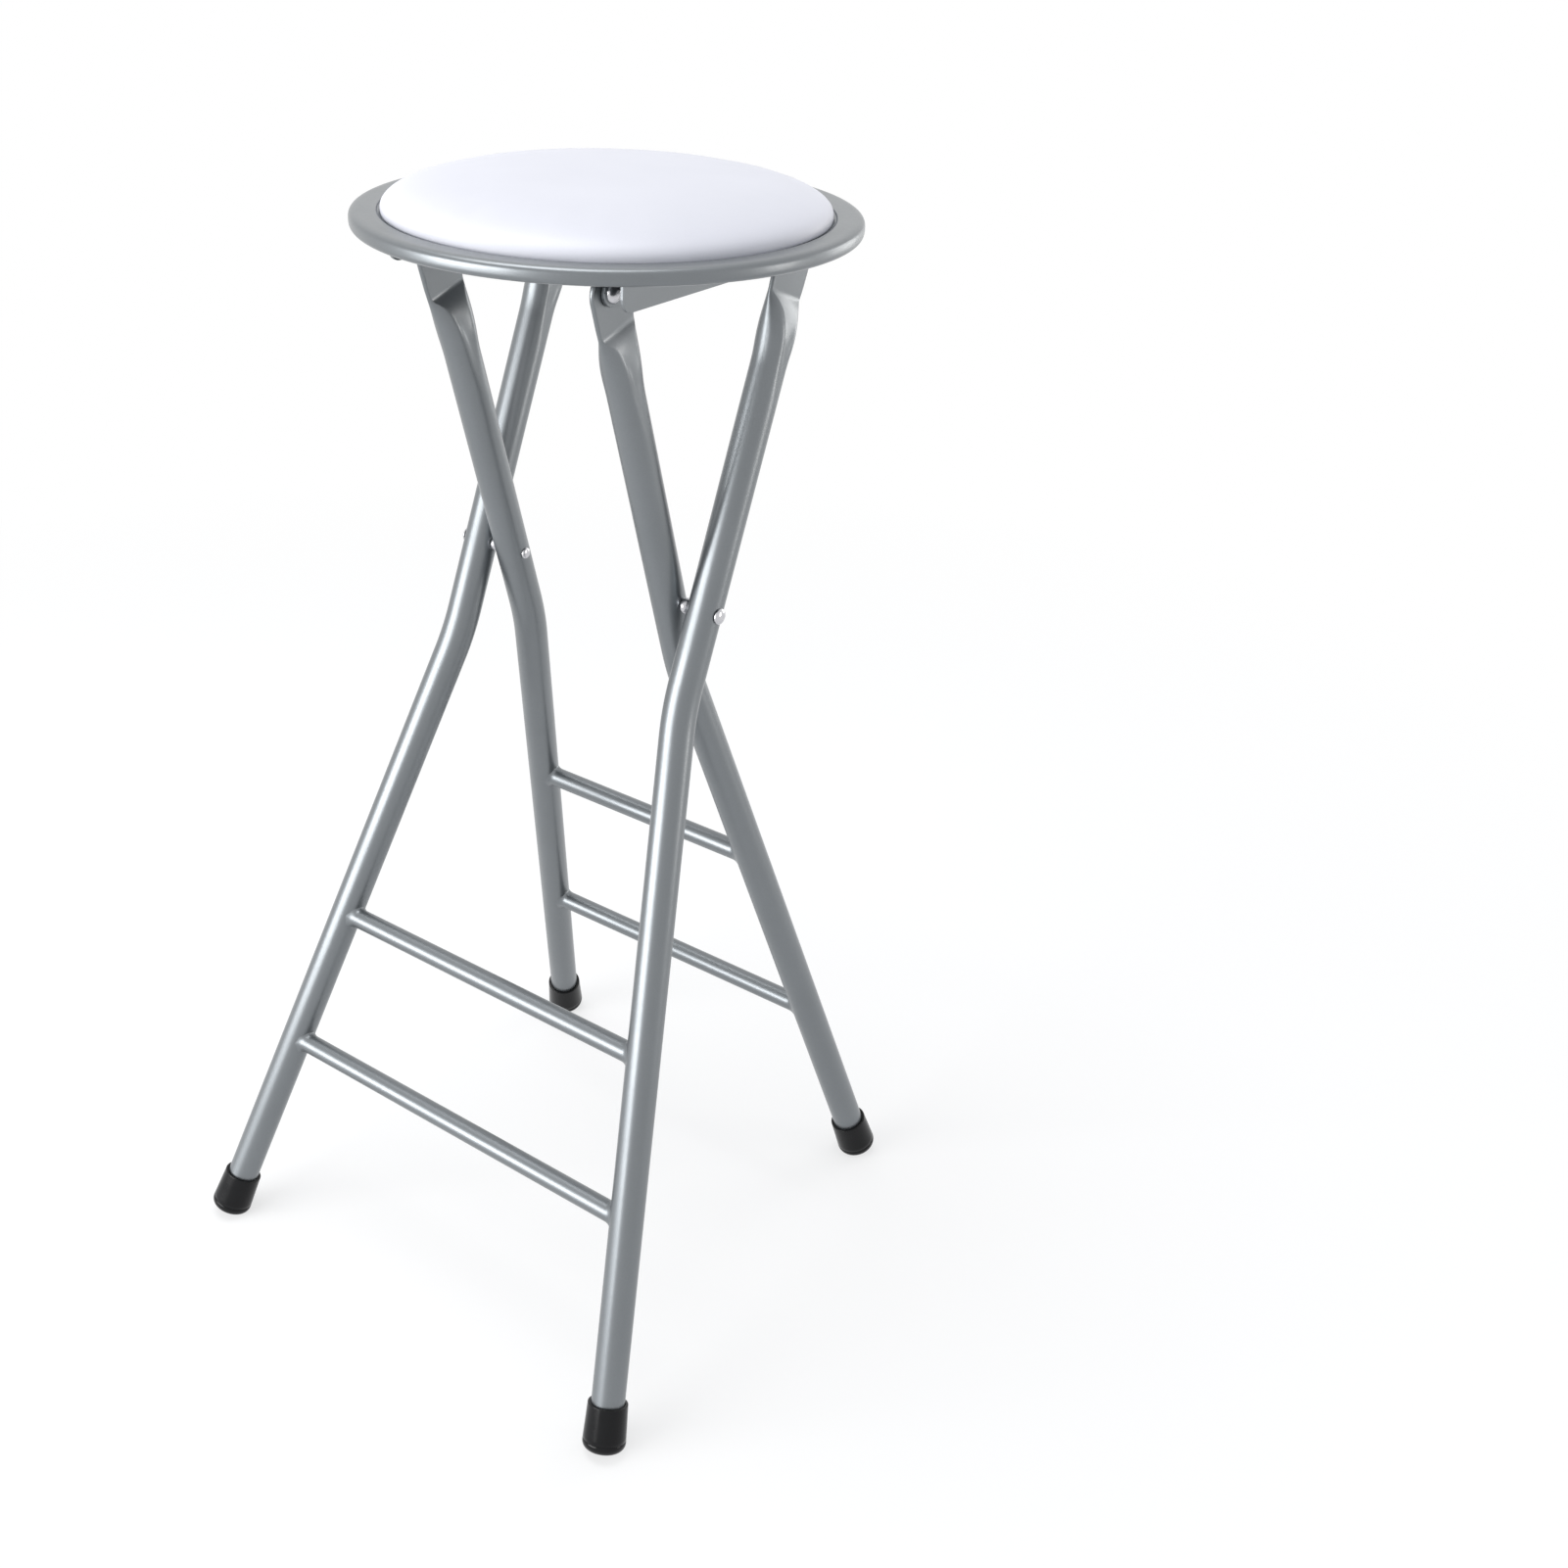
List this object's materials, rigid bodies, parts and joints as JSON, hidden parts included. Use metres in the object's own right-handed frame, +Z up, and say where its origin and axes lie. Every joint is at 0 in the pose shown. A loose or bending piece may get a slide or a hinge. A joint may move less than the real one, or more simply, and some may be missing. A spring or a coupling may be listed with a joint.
{
  "type": "folding stool",
  "caption": "Tall folding stool with a round padded seat in a rolled metal rim on two crossed tubular frames with rungs and rubber feet; riveted links fold it flat and a sprung pin locks it.",
  "frame": {"origin": "on the floor, under the middle of the outline of the open stool", "axes": "+Z up, X along the hinge axes with +X towards the side whose bracket has no lock, +Y towards the feet of the inner frame"},
  "size_m": [0.3874, 0.3851, 0.746],
  "materials": {
    "silver_paint": "smooth silver metallic paint on steel",
    "bright_zinc": "bright zinc plate",
    "white_vinyl": "smooth white vinyl over foam",
    "black_rubber": "moulded black rubber, half gloss",
    "seat_board": "raw particle board",
    "spring_wire": "drawn spring wire"
  },
  "bodies": {
    "outer_frame": {"outer_leg_left": "silver_paint", "outer_leg_right": "silver_paint", "outer_rung_upper": "silver_paint", "outer_rung_lower": "silver_paint", "outer_foot_tip_left": "black_rubber", "outer_foot_tip_right": "black_rubber", "cross_pin_left": "bright_zinc", "cross_pin_right": "bright_zinc", "cross_spacer_left": "bright_zinc", "cross_spacer_right": "bright_zinc"},
    "seat": {"seat_rim": "silver_paint", "base_plate": "silver_paint", "seat_board": "seat_board", "seat_cushion": "white_vinyl", "seat_screw_1": "bright_zinc", "seat_screw_2": "bright_zinc", "seat_screw_3": "bright_zinc", "seat_screw_4": "bright_zinc", "bracket_left": "silver_paint", "bracket_right": "silver_paint", "seat_rivet_left": "bright_zinc", "seat_rivet_right": "bright_zinc", "bracket_rivet_left": "bright_zinc", "bracket_rivet_right": "bright_zinc", "lock_housing": "silver_paint"},
    "inner_frame": {"inner_leg_left": "silver_paint", "inner_leg_right": "silver_paint", "inner_rung_upper": "silver_paint", "inner_rung_lower": "silver_paint", "inner_foot_tip_left": "black_rubber", "inner_foot_tip_right": "black_rubber", "leg_rivet_left": "bright_zinc", "leg_rivet_right": "bright_zinc"},
    "link_left": {"link_left": "silver_paint", "link_rivet_left": "bright_zinc"},
    "link_right": {"link_right": "silver_paint", "link_rivet_right": "bright_zinc"},
    "lock_pin": {"lock_pin": "bright_zinc", "lock_spring": "spring_wire"},
    "pull_ring": {"pull_ring": "bright_zinc"}
  },
  "joints": [
    {"name": "seat_fold", "type": "hinge", "parent": "outer_frame", "child": "seat", "pos_m": [0, 0.0999, 0.703], "axis": [-1, 0, 0], "range_deg": [0, 98.3]},
    {"name": "frame_scissor", "type": "hinge", "parent": "outer_frame", "child": "inner_frame", "pos_m": [0, 0.0192, 0.50147], "axis": [-1, 0, 0], "range_deg": [0, 30.7]},
    {"name": "link_swing_left", "type": "hinge", "parent": "seat", "child": "link_left", "pos_m": [-0.08315, 0.0314, 0.707], "axis": [1, 0, 0], "range_deg": [0, 148.3]},
    {"name": "link_swing_right", "type": "hinge", "parent": "seat", "child": "link_right", "pos_m": [0.08315, 0.0314, 0.707], "axis": [1, 0, 0], "range_deg": [0, 148.3]},
    {"name": "lock_pull", "type": "slide", "parent": "seat", "child": "lock_pin", "axis": [-1, 0, 0], "range_m": [-0.0035, 0.004], "stiffness_N_per_m": 400},
    {"name": "ring_swing", "type": "hinge", "parent": "lock_pin", "child": "pull_ring", "pos_m": [-0.115, 0.00742, 0.70607], "axis": [0, 1, 0], "range_deg": [-30, 90]}
  ],
  "couplings": [
    {"joint": "frame_scissor", "follows": "seat_fold", "ratio": 0.3112},
    {"joint": "link_swing_left", "follows": "seat_fold", "ratio": 1.5068},
    {"joint": "link_swing_right", "follows": "seat_fold", "ratio": 1.5068}
  ]
}
